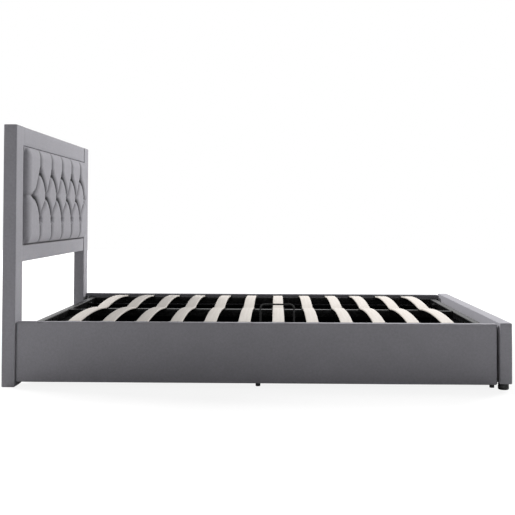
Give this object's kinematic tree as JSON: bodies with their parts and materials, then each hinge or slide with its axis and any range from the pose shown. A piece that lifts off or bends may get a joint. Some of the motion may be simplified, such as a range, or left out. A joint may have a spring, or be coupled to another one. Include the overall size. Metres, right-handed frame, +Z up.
{
  "type": "upholstered lift-up storage bed",
  "caption": "Upholstered platform bed with a buttoned headboard, a storage box and a bowed slat frame that lifts on a side hinge with gas struts.",
  "frame": {"origin": "on the floor, under the middle of the bed's outer box", "axes": "+X from the headboard towards the foot, +Y from the opening side towards the hinged side, +Z up"},
  "size_m": [2.065, 1.45, 1.071],
  "materials": {
    "velvet": "grey velvet upholstery",
    "slat_birch": "pale birch plywood, clear lacquer",
    "frame_steel": "black powder coat",
    "zinc_steel": "zinc plated",
    "black_board": "board covered in black lining cloth",
    "black_plastic": "moulded black plastic",
    "seat_rubber": "moulded black rubber",
    "strut_black": "gloss black paint",
    "rod_chrome": "polished chrome"
  },
  "bodies": {
    "bed_base": {"headboard_post_near": "velvet", "headboard_post_far": "velvet", "headboard_top_rail": "velvet", "headboard_bottom_rail": "velvet", "headboard_back_board": "velvet", "headboard_tufted_pad": "velvet", "side_rail_near": "velvet", "side_rail_far": "velvet", "footboard": "velvet", "head_end_board": "black_board", "floor_bearer_head": "black_board", "floor_bearer_middle": "black_board", "floor_bearer_foot": "black_board", "floor_board_head": "black_board", "floor_board_foot": "black_board", "footboard_foot_near": "black_plastic", "footboard_foot_far": "black_plastic", "corner_bracket_head_near": "zinc_steel", "corner_bracket_head_far": "zinc_steel", "corner_bracket_foot_near": "zinc_steel", "corner_bracket_foot_far": "zinc_steel", "hinge_bracket_head": "zinc_steel", "hinge_bracket_foot": "zinc_steel"},
    "lift_frame": {"lift_frame_side_tube_near": "frame_steel", "lift_frame_side_tube_far": "frame_steel", "lift_frame_cross_tube_head": "frame_steel", "lift_frame_cross_tube_foot": "frame_steel", "lift_frame_centre_tube": "frame_steel", "slat_seat_strip_near": "seat_rubber", "slat_seat_strip_centre": "seat_rubber", "slat_seat_strip_far": "seat_rubber", "slat_01_near": "slat_birch", "slat_01_far": "slat_birch", "slat_02_near": "slat_birch", "slat_02_far": "slat_birch", "slat_03_near": "slat_birch", "slat_03_far": "slat_birch", "slat_04_near": "slat_birch", "slat_04_far": "slat_birch", "slat_05_near": "slat_birch", "slat_05_far": "slat_birch", "slat_06_near": "slat_birch", "slat_06_far": "slat_birch", "slat_07_near": "slat_birch", "slat_07_far": "slat_birch", "slat_08_near": "slat_birch", "slat_08_far": "slat_birch", "slat_09_near": "slat_birch", "slat_09_far": "slat_birch", "slat_10_near": "slat_birch", "slat_10_far": "slat_birch", "slat_11_near": "slat_birch", "slat_11_far": "slat_birch", "slat_12_near": "slat_birch", "slat_12_far": "slat_birch", "mattress_stop": "frame_steel"},
    "strut_cylinder_head": {"strut_cylinder_head": "strut_black"},
    "strut_cylinder_foot": {"strut_cylinder_foot": "strut_black"},
    "strut_rod_head": {"strut_rod_head": "rod_chrome"},
    "strut_rod_foot": {"strut_rod_foot": "rod_chrome"}
  },
  "joints": [
    {"name": "lift_hinge", "type": "hinge", "parent": "bed_base", "child": "lift_frame", "pos_m": [0, 0.668, 0.246], "axis": [-1, 0, 0], "range_deg": [0, 40]},
    {"name": "strut_cylinder_head_pivot", "type": "hinge", "parent": "bed_base", "child": "strut_cylinder_head", "pos_m": [-0.903, 0.52948, 0.0687], "axis": [-1, 0, 0], "range_deg": [-1, 21]},
    {"name": "strut_rod_head_pivot", "type": "hinge", "parent": "lift_frame", "child": "strut_rod_head", "pos_m": [-0.903, 0.44355, 0.23031], "axis": [-1, 0, 0], "range_deg": [-21, 1]},
    {"name": "strut_cylinder_foot_pivot", "type": "hinge", "parent": "bed_base", "child": "strut_cylinder_foot", "pos_m": [0.913, 0.52948, 0.0687], "axis": [-1, 0, 0], "range_deg": [-1, 21]},
    {"name": "strut_rod_foot_pivot", "type": "hinge", "parent": "lift_frame", "child": "strut_rod_foot", "pos_m": [0.913, 0.44355, 0.23031], "axis": [-1, 0, 0], "range_deg": [-21, 1]}
  ],
  "couplings": [
    {"joint": "strut_cylinder_head_pivot", "follows": "lift_hinge", "ratio": 0.5},
    {"joint": "strut_rod_head_pivot", "follows": "lift_hinge", "ratio": -0.5},
    {"joint": "strut_cylinder_foot_pivot", "follows": "lift_hinge", "ratio": 0.5},
    {"joint": "strut_rod_foot_pivot", "follows": "lift_hinge", "ratio": -0.5}
  ]
}
